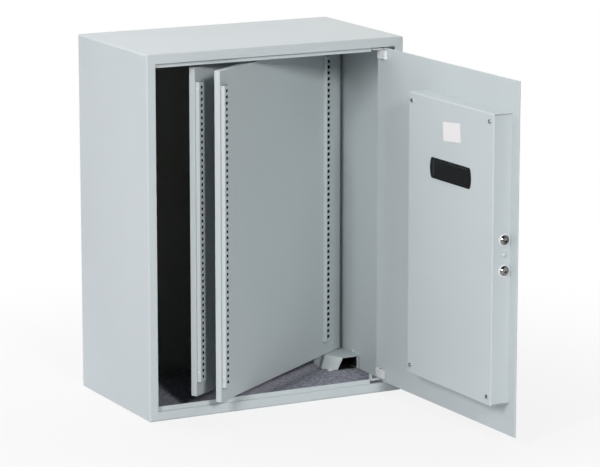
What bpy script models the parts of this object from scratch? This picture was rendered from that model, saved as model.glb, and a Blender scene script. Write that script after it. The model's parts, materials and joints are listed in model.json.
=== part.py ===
"""Steel key cabinet: a welded carcass, a flush door with a deep lock case on its inner
face, and two leaves that swing out like pages and carry slotted rails.

Metres, +Z up, front towards -Y, origin at the centre of the underside. The door hangs
on the right. It stands open, and both leaves stand swung out.
"""

import math

import bmesh
import bpy
from mathutils import Vector

# Carcass
WIDTH = 0.620
DEPTH = 0.360
HEIGHT = 0.800
SHEET = 0.002
GAP = 0.0003
RIM = 0.021
STOP_REACH = 0.0095
STOP_SET = 0.009
STOP_START = -0.2865
STOP_END = 0.235
KEEPER_LOW = 0.345
KEEPER_HIGH = 0.476
KEEPER_DEPTH = 0.008
MAT_THICKNESS = 0.0037
MAT_FRONT = 0.012
FIXING_HOLE = 0.005
FIXING_X = 0.220
FIXING_Z = 0.300

# Door plate and its hinge
DOOR_GAP = 0.002
DOOR_SHEET = 0.003
DOOR_SET = 0.003
HINGE_EDGE = 0.025
HINGE_SET = 0.004
DOOR_OPEN = math.radians(91.5)
LOWER_SEAT = 0.0313
UPPER_SEAT = 0.0278
BLOCK_HEIGHT = 0.0205
BLOCK_NEAR = 0.015
BLOCK_FAR = -0.018
BLOCK_PROUD = 0.0078
HINGE_PIN = 0.0022
HINGE_PIN_TAIL = 0.0060
HINGE_PIN_PROUD = 0.0015
HINGE_ARM_HALF = 0.0034
HINGE_ARM_LENGTH = 0.0255
HINGE_ARM_SHEET = 0.003
HINGE_UPSTAND = 0.014

# Lock case, measured from the hinge axis along the closed door
CASE_NEAR = -0.185
CASE_FAR = -0.524
CASE_LOW = 0.091
CASE_HIGH = 0.709
CASE_DEPTH = 0.045
CASE_SHEET = 0.0012
CASE_ROUND = 0.003
SCREW_NEAR = -0.197
SCREW_FAR = -0.508
SCREW_EDGE = 0.0175
SCREW_HEAD = 0.0040
SCREW_SHANK = 0.0020
RAIL_INSIDE_HALF = 0.010
LABEL_LOW = (-0.395, 0.626)
LABEL_HIGH = (-0.326, 0.667)
LABEL_THICKNESS = 0.0004

# Black insert with the cell tray behind it
INSERT_CENTRE = (-0.3565, 0.5595)
INSERT_HALF = (0.0770, 0.0225)
INSERT_BULGE = 0.0045
INSERT_RIM = 0.0045
INSERT_PROUD = 0.0020
TRAY_DEPTH = 0.030
TRAY_WALL = 0.0015
TRAY_INSET = 0.0010
TRAY_ROOM = 0.0004

# Bolts and the work that throws them
BOLT_HIGH = 0.443
BOLT_LOW = 0.378
BOLT_SET = 0.016
BOLT_RADIUS = 0.0105
BOLT_LENGTH = 0.048
BOLT_PROUD = 0.006
BOLT_THROW = 0.028
COLLAR_RADIUS = 0.0135
COLLAR_BODY = 0.0125
COLLAR_LIP = 0.0025
COLLAR_DEPTH = 0.007
RIVET_SET = 0.017
RIVET_Z = 0.412
SPINDLE_X = -0.420
SPINDLE_RADIUS = 0.005
SPINDLE_ROOM = 0.0008
CRANK_TURN = math.radians(30.0)
CRANK_PIN = 0.004
KNOB_RADIUS = 0.020
KNOB_HEIGHT = 0.028
ENTRY_SIZE = (0.070, 0.012, 0.110)
ENTRY_Z = 0.560

# Leaves
LEAF_REACH = 0.556
LEAF_TAIL = 0.010
LEAF_HALF = 0.0065
LEAF_SHEET = 0.0012
LEAF_LOW = 0.038
LEAF_ROUND = 0.003
COVER_GAP = 0.0010
FRONT_PIVOT = (0.2906, 0.0975)
REAR_PIVOT = (0.2870, 0.1346)
FRONT_OPEN = math.radians(35.0)
REAR_OPEN = math.radians(30.85)
RAIL_WIDTH = 0.021
RAIL_DEPTH = 0.0085
RAIL_LOW = 0.070
RAIL_SHEET = 0.0012
NEAR_RAIL = 0.005
FAR_RAIL = 0.480
SLOT_COUNT = 49
SLOT_PITCH = 0.01327
SLOT_SIZE = (0.0085, 0.0066)
LEAF_PIN = 0.004
LEAF_SHOULDER = 0.0065
LEAF_PIN_TAIL = 0.006
LEAF_PIN_TOP = 0.052

# Brackets that hold the leaves' pivots
BRACKET_TOP = 0.035
BRACKET_SHEET = 0.002
BRACKET_PLATE = [(0.2645, 0.012), (0.3070, 0.012), (0.3070, 0.155), (0.2560, 0.155), (0.2420, 0.057)]
BRACKET_FOOT = [(0.2560, 0.021), (0.3070, 0.021), (0.3070, 0.155), (0.2470, 0.155), (0.2290, 0.050)]
WALL_RIVET = (0.042, 0.041)

# Colours, linear
PAINT = (0.60, 0.60, 0.59)
STEEL = (0.46, 0.45, 0.44)
BLACK = (0.012, 0.012, 0.013)
FELT = (0.035, 0.045, 0.065)
WHITE = (0.85, 0.85, 0.84)

TURN_STEPS = 16
THROUGH = 0.010

for leftover in list(bpy.data.objects):
    bpy.data.objects.remove(leftover)

PARTS = bpy.data.collections.new("key_cabinet")
CUTTERS = bpy.data.collections.new("cutters")
bpy.context.scene.collection.children.link(PARTS)
bpy.context.scene.collection.children.link(CUTTERS)


def put(mesh, name, location=(0.0, 0.0, 0.0), rotation=(0.0, 0.0, 0.0), parent=None):
    """An object of this mesh in the parts' collection."""
    made = bpy.data.objects.new(name, mesh)
    made.location = location
    made.rotation_euler = rotation
    made.parent = parent
    PARTS.objects.link(made)
    return made


def finish(made, colour, roughness, metallic=0.0):
    """The object's own material."""
    look = bpy.data.materials.new(made.name)
    look.use_nodes = True
    shader = look.node_tree.nodes["Principled BSDF"]
    shader.inputs["Base Color"].default_value = (*colour, 1.0)
    shader.inputs["Roughness"].default_value = roughness
    shader.inputs["Metallic"].default_value = metallic
    made.data.materials.clear()
    made.data.materials.append(look)
    return made


def painted(made):
    return finish(made, PAINT, 0.45)


def bare_steel(made):
    return finish(made, STEEL, 0.32, 1.0)


def black_plastic(made):
    return finish(made, BLACK, 0.38)


def mesh_from(bm, name):
    mesh = bpy.data.meshes.new(name)
    bm.to_mesh(mesh)
    bm.free()
    return mesh


def box(name, low, high, parent=None):
    """A box between two corners, with its origin at its centre."""
    low = Vector(low)
    size = Vector(high) - low
    bm = bmesh.new()
    bmesh.ops.create_cube(bm, size=1.0)
    bmesh.ops.scale(bm, vec=size, verts=bm.verts)
    return put(mesh_from(bm, name), name, low + size / 2, parent=parent)


def open_box(name, low, high, open_side, parent=None):
    """A box surface between two corners with one of its sides left out, for a sheet tray."""
    made = box(name, low, high, parent)
    bm = bmesh.new()
    bm.from_mesh(made.data)
    side = max(bm.faces, key=lambda face: face.normal.dot(Vector(open_side)))
    bmesh.ops.delete(bm, geom=[side], context="FACES_ONLY")
    bm.to_mesh(made.data)
    bm.free()
    return made


def cylinder(name, radius, start, end, parent=None, segments=24):
    """A round bar between two points."""
    start = Vector(start)
    along = Vector(end) - start
    bm = bmesh.new()
    bmesh.ops.create_cone(bm, cap_ends=True, segments=segments, radius1=radius, radius2=radius, depth=along.length)
    turn = Vector((0.0, 0.0, 1.0)).rotation_difference(along).to_euler()
    made = put(mesh_from(bm, name), name, start + along / 2, turn, parent)
    made.data.shade_smooth()
    made.data.set_sharp_from_angle(angle=math.radians(40.0))
    return made


def turned(name, profile, location, axis=(0.0, 0.0, 1.0), parent=None, steps=TURN_STEPS):
    """A turned piece. The profile gives (radius, height) down its outer side."""
    bm = bmesh.new()
    points = [bm.verts.new((radius, 0.0, height)) for radius, height in profile]
    for one, other in zip(points, points[1:]):
        bm.edges.new((one, other))
    turn = Vector((0.0, 0.0, 1.0)).rotation_difference(Vector(axis)).to_euler()
    made = put(mesh_from(bm, name), name, location, turn, parent)
    screw = made.modifiers.new("turn", "SCREW")
    screw.steps = steps
    screw.render_steps = steps
    screw.use_merge_vertices = True
    screw.merge_threshold = 0.00001
    return made


def outline(name, points, thickness, location, rotation=(0.0, 0.0, 0.0), parent=None):
    """A flat outline, extruded to its thickness along its own Z, as a closed mesh."""
    curve = bpy.data.curves.new(name, "CURVE")
    curve.dimensions = "2D"
    curve.fill_mode = "BOTH"
    curve.extrude = thickness / 2
    spline = curve.splines.new("POLY")
    spline.points.add(len(points) - 1)
    for point, (x, y) in zip(spline.points, points):
        point.co = (x, y, 0.0, 1.0)
    spline.use_cyclic_u = True
    drawn = bpy.data.objects.new(name + "_outline", curve)
    PARTS.objects.link(drawn)
    graph = bpy.context.evaluated_depsgraph_get()
    mesh = bpy.data.meshes.new_from_object(drawn.evaluated_get(graph))
    bpy.data.objects.remove(drawn)
    bm = bmesh.new()
    bm.from_mesh(mesh)
    bmesh.ops.remove_doubles(bm, verts=bm.verts, dist=0.000005)
    bm.to_mesh(mesh)
    bm.free()
    mesh.name = name
    return put(mesh, name, location, rotation, parent)


def hull(name, points):
    """The solid that wraps a set of points."""
    bm = bmesh.new()
    for point in points:
        bm.verts.new(point)
    bmesh.ops.convex_hull(bm, input=bm.verts)
    return put(mesh_from(bm, name), name)


def cutter(made):
    """Moves a piece to the cutters."""
    PARTS.objects.unlink(made)
    CUTTERS.objects.link(made)
    made.hide_render = True
    made.display_type = "WIRE"
    return made


def combine(made, tool, operation):
    change = made.modifiers.new(tool.name, "BOOLEAN")
    change.operation = operation
    change.object = cutter(tool)


def cut(made, tool):
    combine(made, tool, "DIFFERENCE")


def join(made, tool):
    combine(made, tool, "UNION")


def rounded(made, width, segments=2):
    soft = made.modifiers.new("round", "BEVEL")
    soft.width = width
    soft.segments = segments
    soft.limit_method = "ANGLE"


def sheet_metal(made, thickness):
    """Turns an open surface into sheet, thickened inwards."""
    skin = made.modifiers.new("sheet", "SOLIDIFY")
    skin.thickness = thickness
    skin.offset = -1.0
    skin.use_even_offset = True


def axis_empty(name, location, rotation=(0.0, 0.0, 0.0), parent=None):
    made = bpy.data.objects.new(name, None)
    made.location = location
    made.rotation_euler = rotation
    made.parent = parent
    PARTS.objects.link(made)
    return made


def build_carcass():
    """Five welded panels, the flat front frame, the stop strips and the floor mat."""
    half = WIDTH / 2
    front = -DEPTH / 2
    behind_frame = front + SHEET + GAP
    rear = DEPTH / 2
    inner = half - SHEET - GAP
    painted(box("left_wall", (-half, behind_frame, 0.0), (-half + SHEET, rear, HEIGHT)))
    right = painted(box("right_wall", (half - SHEET, behind_frame, 0.0), (half, rear, HEIGHT)))
    painted(box("top_panel", (-inner, behind_frame, HEIGHT - SHEET), (inner, rear, HEIGHT)))
    painted(box("bottom_panel", (-inner, behind_frame, 0.0), (inner, rear, SHEET)))
    low = SHEET + GAP
    back = painted(box("rear_panel", (-inner, rear - SHEET, low), (inner, rear, HEIGHT - low)))
    for x in (-FIXING_X, FIXING_X):
        for z in (HEIGHT / 2 - FIXING_Z, HEIGHT / 2 + FIXING_Z):
            span = ((x, rear - THROUGH, z), (x, rear + THROUGH, z))
            cut(back, cylinder("fixing_hole", FIXING_HOLE, *span, segments=16))
    frame_back = front + SHEET
    span = half - RIM - GAP
    painted(box("left_stile", (-half, front, 0.0), (-half + RIM, frame_back, HEIGHT)))
    painted(box("right_stile", (half - RIM, front, 0.0), (half, frame_back, HEIGHT)))
    painted(box("top_rail", (-span, front, HEIGHT - RIM), (span, frame_back, HEIGHT)))
    painted(box("bottom_rail", (-span, front, 0.0), (span, frame_back, RIM)))

    y, z = WALL_RIVET
    seat = half - SHEET
    shank = SCREW_SHANK
    profile = [(0.0, 0.0024), (0.0020, 0.0022), (0.0034, 0.0010), (0.0036, GAP), (shank, GAP), (shank, -0.0017)]
    rivet = turned("wall_rivet", profile + [(0.0, -0.0017)], (seat, y, z), (-1.0, 0.0, 0.0))
    painted(rivet)
    span = ((seat - THROUGH, y, z), (seat + THROUGH, y, z))
    cut(right, cylinder("wall_rivet_hole", shank + GAP, *span, segments=16))

    build_stops(frame_back + GAP)
    mat_low = (-inner, front + MAT_FRONT, SHEET + GAP)
    mat_high = (inner, rear - SHEET - GAP, SHEET + GAP + MAT_THICKNESS)
    finish(box("floor_mat", mat_low, mat_high), FELT, 0.95)


def build_stops(seat):
    """Angle strips behind the frame that the door closes towards, and the keeper for the bolts."""
    edge = WIDTH / 2 - RIM
    lip = -DEPTH / 2 + STOP_SET - seat
    profile = [(-SHEET, 0.0), (0.0, 0.0), (0.0, lip), (STOP_REACH, lip)]
    profile += [(STOP_REACH, lip + SHEET), (-SHEET, lip + SHEET)]
    end = edge - GAP
    long = end - STOP_START
    centre = (end + STOP_START) / 2
    quarter = math.pi / 2
    low = (STOP_END, seat + lip - SHEET, RIM + GAP)
    high = (end + THROUGH, seat + lip + 2 * SHEET, HEIGHT - RIM - GAP)
    for name, z, turn in (("bottom_stop", RIM, -quarter), ("top_stop", HEIGHT - RIM, quarter)):
        strip = outline(name, profile, long, (centre, seat, z), (0.0, turn, 0.0))
        cut(strip, box(name + "_hinge_gap", low, high))
        painted(strip)
    low = (-WIDTH / 2 + SHEET + GAP, seat, KEEPER_LOW)
    painted(box("bolt_keeper", low, (-edge - 0.001, seat + KEEPER_DEPTH, KEEPER_HIGH)))


def build_hinge(door):
    """The door's two hinge blocks, and the brackets and pins on the frame that they turn on."""
    x, y = door.location.x, door.location.y
    bore = HINGE_PIN + GAP
    for name, upper in (("lower", False), ("upper", True)):
        def level(z):
            return HEIGHT - z if upper else z

        seat = UPPER_SEAT if upper else LOWER_SEAT
        ends = sorted((level(seat), level(seat + BLOCK_HEIGHT)))
        low = (BLOCK_FAR, -HINGE_SET + GAP, ends[0])
        block = box(name + "_hinge_block", low, (BLOCK_NEAR, BLOCK_PROUD - HINGE_SET, ends[1]), door)
        rounded(block, 0.0008, 1)
        span = ((0.0, 0.0, ends[0] - THROUGH), (0.0, 0.0, ends[1] + THROUGH))
        cut(block, cylinder(name + "_block_bore", bore, *span, door, 16))
        painted(block)

        half = HINGE_ARM_HALF
        points = [(-HINGE_ARM_LENGTH, half), (-HINGE_ARM_LENGTH, -half)]
        for step in range(9):
            angle = -math.pi / 2 + math.pi * step / 8
            points.append((half * math.cos(angle), half * math.sin(angle)))
        arm_top = seat - 2 * GAP
        middle = level(arm_top - HINGE_ARM_SHEET / 2)
        arm = outline(name + "_hinge_bracket", points, HINGE_ARM_SHEET, (x, y, middle))
        if not upper:
            low = (x - HINGE_ARM_LENGTH, y - half, arm_top - HINGE_ARM_SHEET)
            high = (x - HINGE_ARM_LENGTH + SHEET, y + 2 * half, low[2] + HINGE_UPSTAND)
            join(arm, box(name + "_upstand", low, high))
        span = ((x, y, middle - THROUGH), (x, y, middle + THROUGH))
        cut(arm, cylinder(name + "_arm_bore", bore, *span, segments=16))
        painted(arm)

        tip = seat + BLOCK_HEIGHT + HINGE_PIN_PROUD
        pin_ends = ((x, y, level(seat - HINGE_PIN_TAIL)), (x, y, level(tip)))
        bare_steel(cylinder(name + "_hinge_pin", HINGE_PIN, *pin_ends, segments=16))


def build_door():
    """The door plate with its hinge, the lock case and everything in it."""
    x = WIDTH / 2 - RIM - DOOR_GAP - HINGE_EDGE
    y = -DEPTH / 2 + DOOR_SET + DOOR_SHEET + HINGE_SET
    door = axis_empty("door_axis", (x, y, 0.0), (0.0, 0.0, DOOR_OPEN))
    inner = -HINGE_SET
    outer = inner - DOOR_SHEET
    free = HINGE_EDGE - (WIDTH - 2 * RIM - 2 * DOOR_GAP)
    edge = RIM + DOOR_GAP
    plate = painted(box("door_plate", (free, outer, edge), (HINGE_EDGE, inner, HEIGHT - edge), door))
    middle = (BOLT_HIGH + BOLT_LOW) / 2
    span = ((SPINDLE_X, outer - THROUGH, middle), (SPINDLE_X, inner + THROUGH, middle))
    cut(plate, cylinder("spindle_hole", SPINDLE_RADIUS + SPINDLE_ROOM, *span, door))
    build_hinge(door)
    case = build_case(door, inner)
    build_insert(door, case, inner)
    build_bolts(door, case, inner)
    build_knob(door, outer, middle)


def build_case(door, inner):
    """The folded lock case, its mounting rails inside, its screws and its blank label."""
    face = inner + CASE_DEPTH
    corner = (CASE_FAR, inner + GAP, CASE_LOW)
    case = open_box("lock_case", corner, (CASE_NEAR, face, CASE_HIGH), (0.0, -1.0, 0.0), door)
    rounded(case, CASE_ROUND, 3)
    sheet_metal(case, CASE_SHEET)
    painted(case)

    depth = CASE_DEPTH - CASE_SHEET - 2 * GAP
    half = RAIL_INSIDE_HALF
    wall = 0.0015
    profile = [(-half, 0.0), (-half + wall, 0.0), (-half + wall, depth - wall), (half - wall, depth - wall)]
    profile += [(half - wall, 0.0), (half, 0.0), (half, depth), (-half, depth)]
    long = SCREW_NEAR - SCREW_FAR + 0.014
    centre = (SCREW_NEAR + SCREW_FAR) / 2
    for name, z in (("lower", CASE_LOW + SCREW_EDGE), ("upper", CASE_HIGH - SCREW_EDGE)):
        turn = (math.pi, math.pi / 2, math.pi)
        rail = outline(name + "_case_rail", profile, long, (centre, inner + GAP, z), turn, door)
        bare_steel(rail)
        for side, x in (("hinge_side", SCREW_NEAR), ("free_side", SCREW_FAR)):
            shank = SCREW_SHANK
            head = [(0.0, 0.0022), (0.0016, 0.0021), (0.0032, 0.0014), (SCREW_HEAD, GAP), (shank, GAP)]
            head += [(shank, -0.006), (0.0, -0.006)]
            screw = turned(f"{name}_{side}_screw", head, (x, face, z), (0.0, 1.0, 0.0), door)
            bare_steel(screw)
            for where, target in (("case", case), ("rail", rail)):
                span = ((x, face - THROUGH, z), (x, face + THROUGH, z))
                cut(target, cylinder(f"{name}_{side}_{where}_hole", shank + GAP, *span, door, 16))

    low = (LABEL_LOW[0], face + GAP, LABEL_LOW[1])
    high = (LABEL_HIGH[0], face + GAP + LABEL_THICKNESS, LABEL_HIGH[1])
    finish(box("blank_label", low, high, door), WHITE, 0.55)
    return case


def bulged(half_length, half_height, bulge):
    """A long outline with straight sides and short ends that bow outwards."""
    radius = (half_height**2 + bulge**2) / (2 * bulge)
    reach = math.asin(half_height / radius)
    points = []
    for side in (1.0, -1.0):
        for step in range(9):
            angle = reach * (step / 4 - 1)
            out = half_length + bulge - radius + radius * math.cos(angle)
            points.append((side * out, side * radius * math.sin(angle)))
    return points


def build_insert(door, case, inner):
    """The black bezel, its lid, and the cell tray that sits in the case behind them."""
    face = inner + CASE_DEPTH
    x, z = INSERT_CENTRE
    length, height = INSERT_HALF
    lying = (math.pi / 2, 0.0, 0.0)

    def slab(name, shrink, near, far):
        points = bulged(length - shrink, height - shrink, INSERT_BULGE)
        return outline(name, points, far - near, (x, (near + far) / 2, z), lying, door)

    bezel = slab("insert_bezel", 0.0, face + GAP, face + INSERT_PROUD)
    cut(bezel, slab("bezel_window", INSERT_RIM, face - THROUGH, face + THROUGH))
    black_plastic(bezel)
    black_plastic(slab("insert_lid", INSERT_RIM + GAP, face + GAP, face + INSERT_PROUD - 2 * GAP))

    half = (length - INSERT_RIM - TRAY_INSET, height - INSERT_RIM - TRAY_INSET)
    low = (x - half[0], face - TRAY_DEPTH, z - half[1])
    tray = open_box("cell_tray", low, (x + half[0], face, z + half[1]), (0.0, 1.0, 0.0), door)
    sheet_metal(tray, TRAY_WALL)
    black_plastic(tray)
    window = (half[0] + TRAY_ROOM, half[1] + TRAY_ROOM)
    low = (x - window[0], face - THROUGH, z - window[1])
    cut(case, box("tray_window", low, (x + window[0], face + THROUGH, z + window[1]), door))


def build_bolts(door, case, inner):
    """Two round bolts in their collars, the carriage that joins them, the rivet and the lock body."""
    y = inner + BOLT_SET
    bore = BOLT_RADIUS + GAP
    root = CASE_FAR - BOLT_PROUD + BOLT_LENGTH
    outwards = (-1.0, 0.0, 0.0)
    for name, z in (("upper", BOLT_HIGH), ("lower", BOLT_LOW)):
        rim = BOLT_RADIUS - 0.001
        tip = BOLT_PROUD
        profile = [(0.0, tip - 0.0012), (0.0028, tip - 0.0010), (0.0036, tip), (rim, tip)]
        profile += [(BOLT_RADIUS, tip - 0.001), (BOLT_RADIUS, tip - BOLT_LENGTH), (0.0, tip - BOLT_LENGTH)]
        bare_steel(turned(name + "_bolt", profile, (CASE_FAR, y, z), outwards, door, 24))
        profile = [(bore, COLLAR_LIP), (COLLAR_RADIUS - 0.001, COLLAR_LIP), (COLLAR_RADIUS, COLLAR_LIP - 0.001)]
        profile += [(COLLAR_RADIUS, GAP), (COLLAR_BODY, GAP), (COLLAR_BODY, -COLLAR_DEPTH)]
        profile += [(bore, -COLLAR_DEPTH), (bore, COLLAR_LIP)]
        bare_steel(turned(name + "_collar", profile, (CASE_FAR, y, z), outwards, door, 24))
        span = ((CASE_FAR - THROUGH, y, z), (CASE_FAR + THROUGH, y, z))
        cut(case, cylinder(name + "_collar_hole", COLLAR_BODY + GAP, *span, door, 24))

    shank = SCREW_SHANK
    profile = [(0.0, 0.0030), (0.0026, 0.0026), (0.0044, 0.0012), (0.0048, GAP), (shank, GAP), (shank, -0.004)]
    place = (CASE_FAR, inner + RIVET_SET, RIVET_Z)
    painted(turned("case_rivet", profile + [(0.0, -0.004)], place, outwards, door))
    span = (Vector(place) - Vector((THROUGH, 0.0, 0.0)), Vector(place) + Vector((THROUGH, 0.0, 0.0)))
    cut(case, cylinder("case_rivet_hole", shank + GAP, *span, door, 16))

    low = (root + GAP, y - 0.009, BOLT_LOW - BOLT_RADIUS)
    carriage = box("bolt_carriage", low, (root + 0.003, y + 0.009, BOLT_HIGH + BOLT_RADIUS), door)
    middle = (BOLT_HIGH + BOLT_LOW) / 2
    arm = BOLT_THROW / 2 / math.sin(CRANK_TURN)
    slot_x = SPINDLE_X + BOLT_THROW / 2
    rise = arm * math.cos(CRANK_TURN)
    tongue = box("carriage_tongue", (root + 0.001, y, middle - 0.004), (slot_x + 0.011, y + 0.003, middle + 0.040), door)
    join(carriage, tongue)
    room = CRANK_PIN + 0.0006
    low = (slot_x - room, y - THROUGH, middle + rise - room)
    cut(carriage, box("carriage_slot", low, (slot_x + room, y + THROUGH, middle + arm + room), door))
    bare_steel(carriage)

    low = (slot_x + 0.020, inner + GAP, middle - 0.045)
    bare_steel(box("lock_body", low, (slot_x + 0.095, inner + 0.028, middle + 0.045), door))


def build_knob(door, outer, middle):
    """The turn knob outside, its rosette, and the spindle and crank that move the carriage."""
    axis = axis_empty("knob_axis", (SPINDLE_X, 0.0, middle), (0.0, CRANK_TURN, 0.0), door)
    outside = (0.0, -1.0, 0.0)
    base = outer - GAP
    bore = SPINDLE_RADIUS + SPINDLE_ROOM
    profile = [(bore, 0.004), (0.027, 0.004), (0.030, 0.001), (0.030, 0.0), (bore, 0.0), (bore, 0.004)]
    bare_steel(turned("knob_rosette", profile, (SPINDLE_X, base, middle), outside, door))
    low = 0.004 + GAP
    top = low + KNOB_HEIGHT
    profile = [(0.0, top), (KNOB_RADIUS - 0.004, top), (KNOB_RADIUS - 0.001, top - 0.001)]
    profile += [(KNOB_RADIUS, top - 0.004), (KNOB_RADIUS - 0.002, low + 0.004), (KNOB_RADIUS - 0.006, low), (0.0, low)]
    knob = turned("turn_knob", profile, (0.0, base, 0.0), outside, axis)
    grip = box("knob_grip", (-0.004, base - top - 0.010, -0.0155), (0.004, base - top + 0.004, 0.0155), axis)
    join(knob, grip)
    black_plastic(knob)

    plate = -HINGE_SET + BOLT_SET
    crank_low, crank_high = plate - 0.0065, plate - 0.0010
    start = (0.0, base - low + GAP, 0.0)
    bare_steel(cylinder("knob_spindle", SPINDLE_RADIUS, start, (0.0, crank_high, 0.0), axis))
    arm = BOLT_THROW / 2 / math.sin(CRANK_TURN)
    crank = box("drive_crank", (-0.009, crank_low, -0.010), (0.009, crank_high, arm + 0.008), axis)
    join(crank, cylinder("crank_pin", CRANK_PIN, (0.0, crank_high - 0.002, arm), (0.0, plate + 0.005, arm), axis))
    span = ((0.0, crank_low - THROUGH, 0.0), (0.0, crank_high + THROUGH, 0.0))
    cut(crank, cylinder("crank_bore", SPINDLE_RADIUS + GAP, *span, axis))
    bare_steel(crank)

    width, thick, tall = ENTRY_SIZE
    low = (SPINDLE_X - width / 2, base - thick, ENTRY_Z - tall / 2)
    entry = box("entry_panel", low, (SPINDLE_X + width / 2, base, ENTRY_Z + tall / 2), door)
    rounded(entry, 0.003, 2)
    black_plastic(entry)


def slotted_rail():
    """One slotted rail as a mesh: a channel whose web carries a row of slots."""
    half = RAIL_WIDTH / 2
    wall = RAIL_SHEET
    profile = [(-half, 0.0), (-half, -RAIL_DEPTH), (half, -RAIL_DEPTH), (half, 0.0), (half - wall, 0.0)]
    profile += [(half - wall, wall - RAIL_DEPTH), (wall - half, wall - RAIL_DEPTH), (wall - half, 0.0)]
    rail = outline("rail", profile, HEIGHT - 2 * RAIL_LOW, (0.0, 0.0, HEIGHT / 2))
    first = HEIGHT / 2 - SLOT_PITCH * (SLOT_COUNT - 1) / 2
    across, tall = SLOT_SIZE[0] / 2, SLOT_SIZE[1] / 2
    slot = box("rail_slot", (-across, -RAIL_DEPTH - 0.002, first - tall), (across, -RAIL_DEPTH + 0.004, first + tall))
    row = slot.modifiers.new("row", "ARRAY")
    row.count = SLOT_COUNT
    row.use_relative_offset = False
    row.use_constant_offset = True
    row.constant_offset_displace = (0.0, 0.0, SLOT_PITCH)
    cut(rail, slot)
    graph = bpy.context.evaluated_depsgraph_get()
    mesh = bpy.data.meshes.new_from_object(rail.evaluated_get(graph))
    bpy.data.objects.remove(rail)
    bpy.data.objects.remove(slot)
    return mesh


def build_leaf(name, pivot, swing, rail):
    """A leaf: a folded panel with a rear cover, two slotted rails and a pivot at each end."""
    axis = axis_empty(name + "_axis", (*pivot, 0.0), (0.0, 0.0, swing))
    top = HEIGHT - LEAF_LOW
    half = LEAF_HALF
    panel = open_box(name + "_panel", (-LEAF_REACH, -half, LEAF_LOW), (LEAF_TAIL, half, top), (0.0, 1.0, 0.0), axis)
    rounded(panel, LEAF_ROUND, 2)
    sheet_metal(panel, LEAF_SHEET)
    painted(panel)
    inset = LEAF_SHEET + COVER_GAP
    low = (-LEAF_REACH + inset, half - LEAF_SHEET, LEAF_LOW + inset)
    painted(box(name + "_cover", low, (LEAF_TAIL - inset, half, top - inset), axis))

    for side, start in (("free_rail", NEAR_RAIL), ("pivot_rail", FAR_RAIL)):
        place = (-LEAF_REACH + start + RAIL_WIDTH / 2, -half - GAP, HEIGHT / 2)
        painted(put(rail.copy(), f"{name}_{side}", place, parent=axis))

    pin = LEAF_PIN
    low = BRACKET_TOP - LEAF_PIN_TAIL
    seat, under = BRACKET_TOP + GAP, LEAF_LOW - GAP
    levels = [(0.0, LEAF_PIN_TOP), (pin, LEAF_PIN_TOP), (pin, under), (LEAF_SHOULDER, under)]
    levels += [(LEAF_SHOULDER, seat), (pin, seat), (pin, low), (0.0, low)]
    bare_steel(turned(name + "_lower_pivot", levels, (0.0, 0.0, 0.0), parent=axis))
    above = [(radius, HEIGHT - z) for radius, z in reversed(levels)]
    bare_steel(turned(name + "_upper_pivot", above, (0.0, 0.0, 0.0), parent=axis))
    for where, z in (("lower", LEAF_LOW), ("upper", top)):
        span = ((0.0, 0.0, z - THROUGH), (0.0, 0.0, z + THROUGH))
        cut(panel, cylinder(f"{name}_{where}_bore", pin + GAP, *span, axis))


def inset_outline(points, distance):
    """The outline moved inwards by a distance. Its corners run anticlockwise."""
    moved = []
    count = len(points)
    for index in range(count):
        before, here, after = (Vector(points[(index + shift) % count]) for shift in (-1, 0, 1))
        one = (here - before).normalized()
        two = (after - here).normalized()
        normals = Vector((-one.y, one.x)) + Vector((-two.y, two.x))
        moved.append(here + normals * (distance / (1.0 + one.dot(two))))
    return moved


def build_bracket(name, upper):
    """A folded bracket, open to the front, whose plate holds both leaves' pivots."""
    def level(z):
        return HEIGHT - z if upper else z

    foot = SHEET + 2 * GAP + (0.0 if upper else MAT_THICKNESS)
    wall = BRACKET_SHEET
    solid = [(x, y, level(BRACKET_TOP)) for x, y in BRACKET_PLATE]
    solid += [(x, y, level(foot)) for x, y in BRACKET_FOOT]
    made = hull(name, solid)
    ceiling = level(BRACKET_TOP - wall)
    floor = level(foot - wall)
    above, below = inset_outline(BRACKET_PLATE, wall), inset_outline(BRACKET_FOOT, wall)
    hollow = [(*point, ceiling) for point in above]
    hollow += [(*point, floor) for point in below]
    cut(made, hull(name + "_hollow", hollow))
    mouth = []
    for points, z in ((above, ceiling), (below, floor)):
        for x in (points[0].x, points[1].x):
            mouth += [(x, points[0].y + shift, z) for shift in (-2 * THROUGH, THROUGH)]
    cut(made, hull(name + "_mouth", mouth))
    for leaf, (x, y) in (("front", FRONT_PIVOT), ("rear", REAR_PIVOT)):
        z = level(BRACKET_TOP)
        span = ((x, y, z - THROUGH), (x, y, z + THROUGH))
        cut(made, cylinder(f"{name}_{leaf}_hole", LEAF_PIN + GAP, *span))
    painted(made)


build_carcass()
build_door()
RAIL = slotted_rail()
build_leaf("front_leaf", FRONT_PIVOT, FRONT_OPEN, RAIL)
build_leaf("rear_leaf", REAR_PIVOT, REAR_OPEN, RAIL)
build_bracket("lower_leaf_bracket", False)
build_bracket("upper_leaf_bracket", True)
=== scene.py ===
# %% [markdown]
# # A steel key cabinet, dressed for its picture
#
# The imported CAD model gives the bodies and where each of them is. This script adds what the
# CAD leaves plain: folded edges, seamless corners, felt, paint, steel and plastic. The door and
# the two leaves turn, so every new piece says which body it rides on.

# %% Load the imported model
import json
import math

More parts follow.
